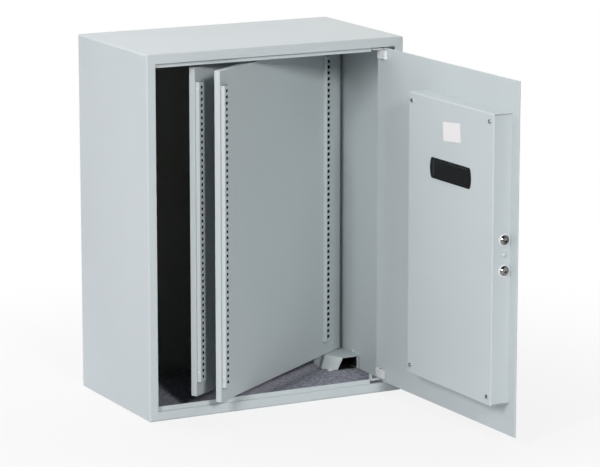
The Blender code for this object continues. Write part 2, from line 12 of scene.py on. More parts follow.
import bmesh
import bpy
import numpy as np
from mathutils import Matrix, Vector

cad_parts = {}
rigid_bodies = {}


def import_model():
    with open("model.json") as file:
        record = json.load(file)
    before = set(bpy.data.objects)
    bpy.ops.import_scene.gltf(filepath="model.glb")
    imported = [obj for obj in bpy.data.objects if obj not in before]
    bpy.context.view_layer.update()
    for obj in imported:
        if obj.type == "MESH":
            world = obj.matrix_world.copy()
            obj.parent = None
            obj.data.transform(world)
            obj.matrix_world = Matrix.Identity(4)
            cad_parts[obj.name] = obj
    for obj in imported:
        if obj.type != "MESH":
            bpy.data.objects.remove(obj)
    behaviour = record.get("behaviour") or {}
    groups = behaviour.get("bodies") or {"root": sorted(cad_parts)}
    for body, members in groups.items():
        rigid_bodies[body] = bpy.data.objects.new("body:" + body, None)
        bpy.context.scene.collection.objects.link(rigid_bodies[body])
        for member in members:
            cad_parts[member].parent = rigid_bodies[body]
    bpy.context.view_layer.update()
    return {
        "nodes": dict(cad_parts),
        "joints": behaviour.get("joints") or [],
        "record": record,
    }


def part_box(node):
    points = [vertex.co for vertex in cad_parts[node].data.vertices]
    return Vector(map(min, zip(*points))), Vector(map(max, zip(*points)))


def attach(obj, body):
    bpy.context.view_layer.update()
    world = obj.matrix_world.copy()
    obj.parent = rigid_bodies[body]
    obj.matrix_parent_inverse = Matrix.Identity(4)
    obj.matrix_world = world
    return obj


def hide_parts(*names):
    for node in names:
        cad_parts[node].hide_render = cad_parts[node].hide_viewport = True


for leftover in list(bpy.data.objects):
    bpy.data.objects.remove(leftover)
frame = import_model()

# %% [markdown]
# ## Sizes
#
# The main sizes are the ones the solids have, in metres: the box, its 21 mm rim, the sheet, and
# the places of the hinge axes. A moving body is drawn in its own frame, with the axis at the
# origin and the body closed, and is then turned open and carried to its axis. So a door piece is
# written as it sits on a closed door, which is far easier to think about than an open one.

# %% Sizes of the cabinet and places of its axes
WIDTH, DEPTH, HEIGHT = 0.620, 0.360, 0.800
FRONT, REAR = -DEPTH / 2, DEPTH / 2
SHEET, GAP, RIM = 0.002, 0.0003, 0.021
DOOR_INNER = -0.004
DOOR_SHEET = 0.003
AXIS = {
    joint["name"]: np.array(joint["pos_m"][:2] + [0.0])
    for joint in frame["joints"] if "pos_m" in joint}
OPEN = {"door_hinge": 91.5, "front_leaf_swing": 35.0, "rear_leaf_swing": 30.85}


def swung(points, joint, about_face=False):
    """Points of a closed body, turned to its open pose about the upright axis of its joint:
    (x cos a - y sin a, x sin a + y cos a), then moved to the axis. A piece drawn from the other
    face is first turned by a half turn."""
    angle = math.radians(OPEN[joint] + (180.0 if about_face else 0.0))
    cos, sin = math.cos(angle), math.sin(angle)
    turn = np.array([[cos, -sin, 0.0], [sin, cos, 0.0], [0.0, 0.0, 1.0]])
    return np.asarray(points, float) @ turn.T + AXIS[joint]


print("axes:", {name: np.round(place[:2], 4).tolist() for name, place in AXIS.items()})

# %% [markdown]
# ## Grids, arcs and outlines
#
# Sheet metal is a profile carried round an outline. Both can be written as arrays: the outline is
# a rectangle with quarter circles for corners, the profile says how far inside that outline and how
# deep each row lies. Working in whole arrays keeps the code short and gives clean rows of quads.

# %% Helpers that work out surfaces
def quads(rows, cols, wrap_rows=False, wrap_cols=False):
    """The quads of a grid of points stored row by row: each joins a point with its neighbours in
    the next column and the next row. Wrapping joins the last row or column to the first."""
    row = np.arange(rows if wrap_rows else rows - 1)[:, None]
    col = np.arange(cols if wrap_cols else cols - 1)[None, :]
    next_row, next_col = (row + 1) % rows, (col + 1) % cols
    corners = (
        row * cols + col, row * cols + next_col, next_row * cols + next_col, next_row * cols + col)
    return np.stack(np.broadcast_arrays(*corners), -1).reshape(-1, 4)


def arc(across, deep, radius, start, end, steps=6):
    """Points of a circular arc: the centre plus radius times (cos, sin), angles in degrees."""
    angle = np.radians(np.linspace(start, end, steps + 1))
    return np.stack([across + radius * np.cos(angle), deep + radius * np.sin(angle)], 1)


def rim_loop(xs, zs, inset, radius, steps=5):
    """A rectangle's outline, moved inwards, with a quarter circle at each corner and the ends of
    its grid lines in between. It runs anticlockwise as seen from the front."""
    left, right, low, high = xs[0] + inset, xs[-1] - inset, zs[0] + inset, zs[-1] - inset
    inner_x, inner_z = np.asarray(xs[1:-1], float), np.asarray(zs[1:-1], float)
    return np.concatenate([
        arc(right - radius, high - radius, radius, 0, 90, steps),
        np.stack([inner_x[::-1], np.full(len(inner_x), high)], 1),
        arc(left + radius, high - radius, radius, 90, 180, steps),
        np.stack([np.full(len(inner_z), left), inner_z[::-1]], 1),
        arc(left + radius, low + radius, radius, 180, 270, steps),
        np.stack([inner_x, np.full(len(inner_x), low)], 1),
        arc(right - radius, low + radius, radius, 270, 360, steps),
        np.stack([np.full(len(inner_z), right), inner_z], 1),
    ])


def carried(xs, zs, profile, corner, least=0.0):
    """The profile's rows (inset, depth) carried round the rectangle: one loop of points a row. The
    corner radius shrinks with the inset, as it does inside a bend."""
    loops = [rim_loop(xs, zs, inset, max(corner - inset, least)) for inset, deep in profile]
    deep = np.repeat(np.asarray(profile)[:, 1], len(loops[0]))
    flat = np.concatenate(loops)
    return np.stack([flat[:, 0], deep, flat[:, 1]], 1), len(loops[0])


def panel(xs, zs, inset, deep, windows=()):
    """A flat grid that fills the outline at one depth. Windows, given as (row, column), stay open."""
    across = np.r_[xs[0] + inset, xs[1:-1], xs[-1] - inset]
    up = np.r_[zs[0] + inset, zs[1:-1], zs[-1] - inset]
    x, z = np.meshgrid(across, up)
    points = np.stack([x.ravel(), np.full(x.size, deep), z.ravel()], 1)
    cells = [row * (len(across) - 1) + col for row, col in windows]
    return points, np.delete(quads(len(up), len(across)), cells, axis=0)


def tray(xs, zs, profile, corner, windows=(), skip=(), closed=False):
    """A panel whose edge runs back along the profile, like a pressed lid. Skip names (row, column)
    cells of the edge that stay open, and closed adds a flat back."""
    points, around = carried(xs, zs, profile, corner)
    edge = quads(len(profile), around, wrap_cols=True)[:, ::-1]
    edge = np.delete(edge, [row * around + col for row, col in skip], axis=0)
    parts = [(points, edge), panel(xs, zs, *profile[0], windows)]
    if closed:
        back, faces = panel(xs, zs, *profile[-1])
        parts.append((back, faces[:, ::-1]))
    return parts


def closed_tray(xs, zs, profile, corner):
    """A tray whose back is one flat polygon along the last row of its profile."""
    back, around = carried(xs, zs, profile[-1:], corner)
    return tray(xs, zs, profile, corner) + [(back, [list(range(around))])]


def turned(profile, centre, axis, steps=48):
    """A turned piece: each (radius, height) of the profile becomes a ring, the centre plus height
    along the axis plus radius times (cos, sin) across it."""
    axis = np.asarray(axis, float) / np.linalg.norm(axis)
    side = np.cross(axis, [0.0, 0.0, 1.0] if abs(axis[2]) < 0.9 else [1.0, 0.0, 0.0])
    side = side / np.linalg.norm(side)
    other = np.cross(axis, side)
    angle = np.linspace(0.0, 2 * np.pi, steps, endpoint=False)
    ring = np.cos(angle)[:, None] * side + np.sin(angle)[:, None] * other
    radius, height = np.asarray(profile, float).T
    points = np.asarray(centre) + height[:, None, None] * axis + radius[:, None, None] * ring
    return points.reshape(-1, 3), quads(len(profile), steps, wrap_cols=True)


def prism(profile, start, end):
    """A closed outline of (depth, height) points, carried along X from start to end and capped."""
    profile = np.asarray(profile, float)
    count = len(profile)
    x = np.repeat([start, end], count)
    points = np.column_stack([x, np.tile(profile, (2, 1))])
    caps = [list(range(count)), list(range(2 * count - 1, count - 1, -1))]
    return points, quads(2, count, wrap_cols=True).tolist() + caps


print("an arc of 90 degrees has", len(arc(0, 0, 1, 0, 90)), "points")

# %% [markdown]
# ## Putting a surface into Blender
#
# Blender wants one list of points and one of faces. The parts of a piece are stacked, points that
# lie on each other are merged so that seams close, and a sheet gets its thickness from Solidify,
# which can give the new side a finish of its own. Large flat faces next to small bends shade well
# only with normals weighted by face area, so that modifier finishes each piece.

# %% Make a piece
MERGE, SLIVER = 0.000002, 0.0000005


def thickened(made, sheet):
    """The mesh with a wall of that thickness added on its inner side, in the second finish if any.
    A sheet drawn from its side in painted shade keeps the paint on its edges."""
    skin = made.modifiers.new("sheet", "SOLIDIFY")
    skin.thickness, skin.offset, skin.use_even_offset = sheet, -1.0, True
    skin.material_offset = len(made.data.materials) - 1
    skin.material_offset_rim = skin.material_offset if made.data.materials[0] == painted_shade_steel else 0
    graph = bpy.context.evaluated_depsgraph_get()
    mesh = bpy.data.meshes.new_from_object(made.evaluated_get(graph))
    made.modifiers.clear()
    thin = made.data
    made.data = mesh
    bpy.data.meshes.remove(thin)


def piece(name, parts, body, finish, nodes=(), joint=None, about_face=False,
          sheet=0.0, inside=None, bevel=0.0, sharp=32.0):
    """One object from parts of (points, faces), in place, on its body and in its finish. A part
    without thickness keeps its facing, and a solid one is turned to face outwards."""
    counts = np.cumsum([0] + [len(points) for points, faces in parts])
    points = np.concatenate([points for points, faces in parts])
    faces = [
        [index + base for index in face]
        for (_, group), base in zip(parts, counts) for face in np.asarray(group, object).tolist()]
    if joint:
        points = swung(points, joint, about_face)
    mesh = bpy.data.meshes.new(name)
    mesh.from_pydata(points.tolist(), [], faces)
    bm = bmesh.new()
    bm.from_mesh(mesh)
    bmesh.ops.remove_doubles(bm, verts=bm.verts, dist=MERGE)
    bmesh.ops.dissolve_degenerate(bm, edges=bm.edges, dist=SLIVER)
    if not sheet:
        bmesh.ops.recalc_face_normals(bm, faces=bm.faces)
    bm.to_mesh(mesh)
    bm.free()
    made = bpy.data.objects.new(name, mesh)
    bpy.context.scene.collection.objects.link(made)
    for coat in (finish, inside) if inside else (finish,):
        mesh.materials.append(coat)
    if sheet:
        thickened(made, sheet)
    if bevel:
        soft = made.modifiers.new("folds", "BEVEL")
        soft.width, soft.segments, soft.limit_method = bevel, 2, "ANGLE"
    made.data.shade_smooth()
    made.data.set_sharp_from_angle(angle=math.radians(sharp))
    weight = made.modifiers.new("flat shading", "WEIGHTED_NORMAL")
    weight.keep_sharp = True
    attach(made, body)
    if nodes:
        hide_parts(*nodes)
    print(f"{name}: {len(made.data.polygons)} faces on {body}")
    return made


# %% [markdown]
# ## Writing materials as sums
#
# A material is a graph of small nodes, and most of it is arithmetic. Wrapping a socket in a class
# that knows plus, minus and times lets the graph be written as a formula. Every other node comes
# from the one method that takes its type, its settings and its inputs.

# %% A socket that can be calculated with
class Flow:
    """One output socket of a material. Arithmetic with numbers or other sockets adds Math nodes."""

    def __init__(self, tree, socket=None):
        self.tree, self.socket = tree, socket

    def add(self, kind, settings=None, inputs=None, out=0):
        """A node of this type: its settings first, then the values or links of its sockets."""
        node = self.tree.nodes.new("ShaderNode" + kind)
        for key, value in (settings or {}).items():
            if key == "stops":
                for stop, (place, colour) in zip(node.color_ramp.elements, value):
                    stop.position, stop.color = place, colour
            else:
                setattr(node, key, value)
        for key, value in (inputs or {}).items():
            self.feed(node.inputs[key], value)
        return Flow(self.tree, node.outputs[out])

    def feed(self, socket, value):
        if isinstance(value, Flow):
            self.tree.links.new(value.socket, socket)
        else:
            socket.default_value = value

    def math(self, operation, one, two):
        return self.add("Math", {"operation": operation}, {0: one, 1: two})

    def __add__(self, other):
        return self.math("ADD", self, other)

    __radd__ = __add__

    def __mul__(self, other):
        return self.math("MULTIPLY", self, other)

    __rmul__ = __mul__

    def __sub__(self, other):
        return self.math("SUBTRACT", self, other)

    def __rsub__(self, other):
        return self.math("SUBTRACT", other, self)

    def noise(self, scale, detail=2.0, roughness=0.5, stretch=None):
        """Noise of so many grains a metre, at will with its coordinates stretched."""
        place = self.add("Mapping", None, {"Vector": self, "Scale": stretch}) if stretch else self
        inputs = {"Vector": place, "Scale": scale, "Detail": detail, "Roughness": roughness}
        return self.add("TexNoise", None, inputs)

    def steps(self, low, high):
        """A smooth rise from 0 to 1 between two values."""
        settings = {"interpolation_type": "SMOOTHSTEP"}
        return self.add("MapRange", settings, {"Value": self, "From Min": low, "From Max": high})

    def colours(self, dark, light):
        """A colour between two, by this value."""
        return self.add("Mix", {"data_type": "RGBA"}, {0: self, 6: (*dark, 1.0), 7: (*light, 1.0)}, 2)

    def bump(self, strength, distance):
        return self.add("Bump", None, {"Strength": strength, "Distance": distance, "Height": self})


def new_finish(name, constants):
    """A material with its constant sockets set, a way to feed the varying ones, and its place."""
    material = bpy.data.materials.new(name)
    material.use_nodes = True
    shader = material.node_tree.nodes["Principled BSDF"]
    for socket, value in constants.items():
        shader.inputs[socket].default_value = value
    place = Flow(material.node_tree).add("TexCoord", out="Object")

    def feed(**sockets):
        for socket, value in sockets.items():
            place.feed(shader.inputs[socket.replace("_", " ")], value)

    return material, place, feed


# %% [markdown]
# ## Powder coat
#
# The whole cabinet has a light grey powder coat with a faint green cast. Baked powder leaves a
# fine orange peel and lies a little thicker or thinner here and there. Two noises give that: a slow
# one drifts the shade, and a fine one gives the peel and a slight change in gloss.

# %% Powder coat
COAT_DARK, COAT_LIGHT = (0.500, 0.550, 0.555), (0.545, 0.597, 0.602)


def make_powder_coat():
    material, place, feed = new_finish("powder_coat", {"Specular IOR Level": 0.42})
    drift = place.noise(2.6, 2.0)
    peel = place.noise(720.0, 2.0, 0.55)
    speckle = place.noise(2600.0, 1.0)
    shade = drift * 0.55 + peel * 0.30 + speckle * 0.15
    feed(Base_Color=shade.steps(0.25, 0.75).colours(COAT_DARK, COAT_LIGHT))
    feed(Roughness=0.36 + peel * 0.14, Normal=(peel + 0.4 * speckle).bump(0.10, 0.00035))
    return material


powder_coat = make_powder_coat()
print("powder coat:", len(powder_coat.node_tree.nodes), "nodes")

# %% [markdown]
# ## Steel, plastic, felt and paper
#
# The bolts and screws are plated steel: metal whose gloss varies in fine streaks. Collars and small
# rivets are dull zinc. The hollow sheets are lined with a near-black colour that is painted shade,
# so their insides read dark. The insert and the knob are satin black plastic with a moulded grain.
# The mat is needle felt, a mottle of dark and pale fibres, which is all noise and no gloss. The
# sticker is coated paper and is left blank.

# %% The other finishes
def make_plated_steel():
    material, place, feed = new_finish("plated_steel", {"Metallic": 1.0})
    streak = place.noise(900.0, 3.0, 0.6, (1.0, 1.0, 0.15))
    cloud = place.noise(120.0, 2.0)
    feed(Base_Color=(0.6 * cloud + 0.4 * streak).colours((0.20, 0.20, 0.20), (0.34, 0.34, 0.33)))
    feed(Roughness=0.10 + 0.12 * streak, Normal=streak.bump(0.12, 0.0002))
    return material


# Near-black steel that is painted shade: it lines hollows and gaps so that they read dark.
def make_painted_shade_steel():
    material, place, feed = new_finish("bare_dark_steel", {"Specular IOR Level": 0.2})
    scale = place.noise(400.0, 3.0, 0.6)
    feed(Base_Color=scale.colours((0.010, 0.010, 0.010), (0.024, 0.023, 0.022)))
    feed(Roughness=0.55 + 0.2 * scale)
    return material


def make_satin_zinc():
    material, place, feed = new_finish("satin_zinc", {"Metallic": 0.10, "Specular IOR Level": 0.5})
    cloud, grain = place.noise(90.0, 3.0, 0.6), place.noise(1300.0, 2.0)
    feed(Base_Color=cloud.colours((0.70, 0.715, 0.715), (0.80, 0.81, 0.81)))
    feed(Roughness=0.46 + 0.14 * grain, Normal=grain.bump(0.12, 0.0002))
    return material


def make_black_plastic():
    material, place, feed = new_finish("satin_black_plastic", {"Specular IOR Level": 0.18})
    grain = place.noise(1500.0, 2.0)
    cloud = place.noise(40.0, 2.0)
    feed(Base_Color=cloud.colours((0.002, 0.002, 0.0025), (0.005, 0.005, 0.0055)))
    feed(Roughness=0.24 + 0.14 * grain, Normal=grain.bump(0.12, 0.0002))
    return material


def make_needle_felt():
    soft = {"Specular IOR Level": 0.15, "Sheen Weight": 0.25, "Sheen Roughness": 0.6}
    material, place, feed = new_finish("needle_felt", soft)
    tuft = place.noise(125.0, 4.0, 0.7)
    fibre = place.noise(700.0, 2.0, 0.6, (1.0, 0.45, 1.0))
    cross = place.noise(620.0, 2.0, 0.6, (0.4, 1.0, 1.0))
    mottle = 0.45 * tuft + 0.30 * fibre + 0.25 * cross
    feed(Base_Color=mottle.steps(0.42, 0.59).colours((0.020, 0.025, 0.048), (0.240, 0.252, 0.350)))
    feed(Roughness=0.85 + 0.12 * fibre, Normal=mottle.bump(0.55, 0.0012))
    return material


def make_paper():
    material, place, feed = new_finish("blank_paper", {"Specular IOR Level": 0.3})
    fibre = place.noise(1400.0, 2.0)
    feed(Base_Color=fibre.colours((0.74, 0.73, 0.72), (0.82, 0.81, 0.80)))
    feed(Roughness=0.48 + 0.1 * fibre)
    return material


plated_steel, satin_zinc, painted_shade_steel = make_plated_steel(), make_satin_zinc(), make_painted_shade_steel()
black_plastic, needle_felt, blank_paper = make_black_plastic(), make_needle_felt(), make_paper()
print("other finishes:", len(bpy.data.materials) - 1)

# %% [markdown]
# ## Painted outside, painted shade inside
#
# The leaf covers and the rear panel stay as their solids, which have one finish each. Yet their
# inner faces are coloured darker than the paint outside, as painted shade. The direction that a
# face looks in tells the two apart: its dot product with the inward direction is near 1 only on
# the inner face.

# %% Finishes of the solids
LEAF_INWARD, REAR_INWARD = (0.545, -0.838, 0.0), (0.0, -1.0, 0.0)


def make_coat_with_painted_shade(name, inward, darkest, lightest):
    """Paint outside, and painted shade, a darker colour, on the faces that look inward."""
    material, place, feed = new_finish(name, {"Specular IOR Level": 0.42})
    facing = Flow(material.node_tree).add("TexCoord", out="Normal")
    along = facing.add("VectorMath", {"operation": "DOT_PRODUCT"}, {0: facing, 1: inward}, "Value")
    # inside is 1 on the inward faces, which get the painted shade.
    inside = along.steps(0.7, 0.9)
    drift, peel = place.noise(2.6, 2.0), place.noise(720.0, 2.0, 0.55)
    outside = (drift * 0.6 + peel * 0.4).steps(0.25, 0.75).colours(COAT_DARK, COAT_LIGHT)
    dark_shade = peel.colours(darkest, lightest)
    feed(Base_Color=inside.add("Mix", {"data_type": "RGBA"}, {0: inside, 6: outside, 7: dark_shade}, 2))
    feed(Roughness=0.36 + peel * 0.14, Normal=peel.bump(0.10, 0.00035))
    return material


# The leaf covers' inner faces are near black and the rear panel's inner face darker grey, both painted
# shade.
leaf_cover_finish = make_coat_with_painted_shade(
    "leaf_cover_finish", LEAF_INWARD, (0.010, 0.010, 0.010), (0.022, 0.021, 0.020))
rear_panel_finish = make_coat_with_painted_shade(
    "rear_panel_finish", REAR_INWARD, (0.26, 0.262, 0.235), (0.31, 0.312, 0.282))
PAINTED_SHADE_INSIDE = {
    "front_leaf_cover": leaf_cover_finish, "rear_leaf_cover": leaf_cover_finish,
    "rear_panel": rear_panel_finish}
FINISH = {
    "paint": powder_coat, "steel": plated_steel, "black_plastic": black_plastic,
    "felt": needle_felt, "label": blank_paper}
for subpart in frame["record"]["subparts"]:
    node = frame["nodes"][subpart["node"]]
    node.data.materials.clear()
    node.data.materials.append(PAINTED_SHADE_INSIDE.get(subpart["node"], FINISH[subpart["material_slot"]]))
print("finishes on the solids:", ", ".join(FINISH))

# %% [markdown]
# ## The carcass
#
# The real carcass is folded from sheet and welded, ground and painted, so no seam shows at the
# front and every outer edge is a small round. Separate panels would show their gaps. One profile,
# from the inside of the wall round the rim, over the front edge and back along the outside, is
# carried round the outline. The rear panel stays as its solid, since it has the fixing holes.

# %% Carcass shell
EDGE = 0.0042


def carcass_profile():
    """(inset, depth) rows of the wall's section, from the inner wall round the rim to the rear."""
    return np.concatenate([
        [[SHEET, REAR - 0.0012], [SHEET, FRONT + SHEET]],
        arc(RIM - 0.0006, FRONT + SHEET - 0.0006, 0.0006, 90, 0, 3),
        arc(RIM - 0.0009, FRONT + 0.0009, 0.0009, 0, -90, 4),
        arc(EDGE, FRONT + EDGE, EDGE, -90, -180, 6),
        arc(0.0018, REAR - 0.0018, 0.0018, 180, 90, 4),
        [[SHEET, REAR - 0.0004]],
    ])


outside_x, outside_z = [-WIDTH / 2, WIDTH / 2], [0.0, HEIGHT]
section = carcass_profile()
shell_points, shell_around = carried(outside_x, outside_z, section, EDGE, 0.0007)
shell = (shell_points, quads(len(section), shell_around, True, True))
piece("carcass_shell", [shell], "cabinet", powder_coat, [
    "left_wall", "right_wall", "top_panel", "bottom_panel",
    "left_stile", "right_stile", "top_rail", "bottom_rail"])

# %% [markdown]
# ## Stop strips behind the rim
#
# Behind the bottom and the top of the rim runs an angle strip that the closed door stands against.
# Its upright lip ends short of the hinge, while its flat web runs on. That is an L section carried
# along X, with the web alone for the last stretch, and small bevels for the folds.

# %% Stop strips
STOP_START, STOP_END, STOP_REACH = -0.2865, 0.235, 0.0095
WEB_END = WIDTH / 2 - RIM - GAP
SEAT, LIP = FRONT + SHEET + GAP, FRONT + 0.009


def stop_strip(name, level, up):
    """An angle strip: up is 1 for the bottom strip and -1 for the top one."""
    web = np.array([[SEAT, -SHEET], [LIP, -SHEET], [LIP, 0.0], [SEAT, 0.0]])
    lip = np.array([
        [SEAT, -SHEET], [LIP + SHEET, -SHEET], [LIP + SHEET, STOP_REACH], [LIP, STOP_REACH],
        [LIP, 0.0], [SEAT, 0.0]])
    lengths = ((lip, (STOP_START, STOP_END)), (web, (STOP_END, WEB_END)))
    parts = [prism(shape * [1.0, up] + [0.0, level], *span) for shape, span in lengths]
    return piece(name + "_strip", parts, "cabinet", powder_coat, [name], bevel=0.0005)


stop_strip("bottom_stop", RIM, 1.0)
stop_strip("top_stop", HEIGHT - RIM, -1.0)

# %% [markdown]
# ## The felt mat
#
# A loose mat of needle felt covers the floor. It is a soft sheet, so the solid isn't shown: a
# grid with a low swell and a fibrous surface takes its place, cut to the floor's size and laid
# flat. The swell is a sum of sines, which is the same in every run.

# %% Felt mat
mat_low, mat_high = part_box("floor_mat")


def felt_mat():
    """The mat lies as a tray turned face up: its depth rows become heights. The top swells by a sum
    of sines in both directions that dies away at the edges."""
    xs, zs = np.linspace(mat_low.x, mat_high.x, 110), np.linspace(mat_low.y, mat_high.y, 64)
    top, base = -(mat_high.z - 0.0003), -mat_low.z
    profile = np.concatenate([arc(0.001, top + 0.001, 0.001, -90, -180, 3), [[0.0, base]]])
    parts = []
    for points, faces in tray(xs, zs, profile, 0.001, closed=True):
        x, deep, z = points.T
        inside = np.minimum.reduce([x - mat_low.x, mat_high.x - x, z - mat_low.y, mat_high.y - z])
        swell = np.sin(61 * x + 1.3) * np.sin(47 * z) + 0.6 * np.sin(173 * x) * np.sin(211 * z + 0.7)
        swell = swell + 0.35 * np.sin(611 * x + 40 * z) * np.sin(577 * z - 60 * x)
        lift = 0.00028 * swell * np.clip(inside / 0.01, 0.0, 1.0) * (deep < base - 0.001)
        parts.append((np.stack([x, z, -deep + lift], 1), faces))
    return parts


mat = piece("felt_mat", felt_mat(), "cabinet", needle_felt, ["floor_mat"], sharp=60.0)

# %% [markdown]
# ## The leaves
#
# Each leaf is a shallow folded tray with rounded edges, closed at the back by a cover sheet that
# stays as its solid. Behind each rail the tray has a long window, so the slots look into the hollow
# leaf. The tray's inner side is near black, painted shade, so the slots read as black. The tray is
# drawn closed and then swung open.

# %% Leaf trays
LEAF_REACH, LEAF_TAIL, LEAF_HALF, LEAF_LOW = 0.556, 0.010, 0.0065, 0.038
LEAF_ROUND, LEAF_SHEET = 0.0014, 0.0012
RAIL_WIDTH, RAIL_DEPTH, RAIL_LOW, RAIL_SHEET = 0.021, 0.0085, 0.070, 0.0012
RAIL_AT = {
    "free_rail": -LEAF_REACH + 0.005 + RAIL_WIDTH / 2,
    "pivot_rail": -LEAF_REACH + 0.480 + RAIL_WIDTH / 2}


def leaf_tray():
    """Front panel with two windows, a small round all round, and a straight edge back to the cover."""
    half = RAIL_WIDTH / 2 - 0.0025
    xs = [-LEAF_REACH, *(at + side * half for at in RAIL_AT.values() for side in (-1, 1)), LEAF_TAIL]
    zs = [LEAF_LOW, RAIL_LOW + 0.006, HEIGHT - RAIL_LOW - 0.006, HEIGHT - LEAF_LOW]
    fold = arc(LEAF_ROUND, LEAF_ROUND - LEAF_HALF, LEAF_ROUND, -90, -180, 6)
    profile = np.concatenate([fold, [[0.0, LEAF_HALF]]])
    return tray(xs, zs, profile, LEAF_ROUND, windows=[(1, 1), (1, 3)])


# The inner side of each tray is painted shade, near black.
for leaf in ("front_leaf", "rear_leaf"):
    piece(leaf + "_tray", leaf_tray(), leaf, powder_coat, [leaf + "_panel"],
          leaf + "_swing", sheet=LEAF_SHEET, inside=painted_shade_steel)

# %% [markdown]
# ## Slotted rails
#
# Hooks for keys clip into a channel with a row of 49 slots. A grid makes that directly: columns
# follow the channel's section, rows alternate between slot and bridge, and the cells of the slots
# are left out. The rail near the pivot has wider slots than the one at the free edge. Solidify then
# gives the sheet its thickness, slot walls included, and its inner side is near black, painted
# shade, so the slots read dark.

# %% Slotted rails
SLOT_COUNT, SLOT_PITCH = 49, 0.01327
SLOT_SIZE = {"free_rail": (0.0092, 0.0066), "pivot_rail": (0.0128, 0.0076)}


def slotted_rail(at, wide, tall):
    """The channel's section (along the leaf, out of it) carried up, with the slots' cells left out."""
    half, bend = RAIL_WIDTH / 2, 0.0013
    foot = -LEAF_HALF - GAP
    front = foot - RAIL_DEPTH
    left = arc(-half + bend, front + bend, bend, 180, 270, 4)
    right = arc(half - bend, front + bend, bend, -90, 0, 4)
    slot = [[-wide / 2, front], [wide / 2, front]]
    section = np.concatenate([[[-half, foot]], left, slot, right, [[half, foot]]])
    middle = HEIGHT / 2 + SLOT_PITCH * (np.arange(SLOT_COUNT) - (SLOT_COUNT - 1) / 2)
    ends = (middle[:, None] + np.array([-0.5, 0.5]) * tall).ravel()
    up = np.r_[RAIL_LOW, ends, HEIGHT - RAIL_LOW]
    around = np.tile(section + [at, 0.0], (len(up), 1))
    points = np.column_stack([around, np.repeat(up, len(section))])
    slots = (2 * np.arange(SLOT_COUNT) + 1) * (len(section) - 1) + len(left) + 1
    return [(points, np.delete(quads(len(up), len(section)), slots, axis=0))]


# The inner side of each channel is painted shade, near black.
for leaf in ("front_leaf", "rear_leaf"):
    for rail, at in RAIL_AT.items():
        channel = slotted_rail(at, *SLOT_SIZE[rail])
        piece(f"{leaf}_{rail}_channel", channel, leaf, powder_coat, [f"{leaf}_{rail}"],
              leaf + "_swing", sheet=RAIL_SHEET, inside=painted_shade_steel)

# %% [markdown]
# ## Brackets of the leaves
# Both leaves turn in a folded bracket on the floor and another under the top. The plate and its
# skirt are one bent sheet, open to the front. The skirt is a loft: the plate's outline above, the
# wider foot below, and a soft bend between them that follows a quadratic curve. The surface drawn
# is the inner one, near black as painted shade, and the paint is on the side that its thickness
# adds.

# %% Leaf brackets
PLATE = np.array([(0.2645, 0.012), (0.2420, 0.057), (0.2560, 0.155), (0.3070, 0.155), (0.3070, 0.012)])
FOOT = np.array([(0.2560, 0.021), (0.2290, 0.050), (0.2470, 0.155), (0.3070, 0.155), (0.3070, 0.021)])
BRACKET_TOP, BRACKET_SHEET, TOE_SHEET, BASE_SHEET = 0.035, 0.002, 0.0018, 0.0008


def softened(path, radius, steps=5):
    """An open path whose inner corners are quadratic curves: (1-t)^2 A + 2t(1-t) V + t^2 B, with
    A and B on the legs, a radius away from the corner V."""
    before, corner, after = path[:-2], path[1:-1], path[2:]
    start = corner + (before - corner) * (radius / np.linalg.norm(before - corner, axis=1))[:, None]
    end = corner + (after - corner) * (radius / np.linalg.norm(after - corner, axis=1))[:, None]
    t = np.linspace(0.0, 1.0, steps + 1)[None, :, None]
    bends = (1 - t) ** 2 * start[:, None] + 2 * t * (1 - t) * corner[:, None] + t**2 * end[:, None]
    return np.concatenate([path[:1], bends.reshape(-1, path.shape[1]), path[-1:]])


def leaf_bracket(name, foot, up):
    """Rows run from the plate over the bend to the foot, columns along the skirt. The plate's face
    is closed by one flat polygon across the mouth."""
    edge, base = softened(PLATE, 0.004), softened(FOOT, 0.004)
    inward = edge.mean(0) - edge
    inward = inward / np.linalg.norm(inward, axis=1)[:, None]
    bend, drop = 0.0026, BRACKET_TOP - foot
    flat = np.column_stack([edge + inward * bend, np.full(len(edge), BRACKET_TOP)])
    fold = np.column_stack([edge, np.full(len(edge), BRACKET_TOP)])
    low = np.column_stack([base, np.full(len(base), foot)])
    side = fold + (low - fold) * (bend / drop)
    t = np.linspace(0.0, 1.0, 5)[:, None, None]
    rows = (1 - t) ** 2 * flat + 2 * t * (1 - t) * fold + t**2 * side
    points = np.concatenate([rows.reshape(-1, 3), low])
    faces = quads(6, len(edge)).tolist() + [list(range(len(edge)))[::-1]]
    if up < 0:
        points = points * [1.0, 1.0, -1.0] + [0.0, 0.0, HEIGHT]
    else:
        faces = [face[::-1] for face in faces]
    # The inner surface is painted shade, near black; the paint is on the added side.
    piece(name + "_sheet", [(points, faces)], "cabinet", painted_shade_steel, [name],
          sheet=BRACKET_SHEET, inside=powder_coat)
    bracket_tabs(name, foot, up)


def flat_plate(outline, low, high, up):
    """An outline in plan, carried from one height to another and mirrored for the upper bracket."""
    points, faces = prism(outline, low, high)
    return points[:, [1, 2, 0]] * [1.0, 1.0, up] + [0.0, 0.0, 0.0 if up > 0 else HEIGHT], faces


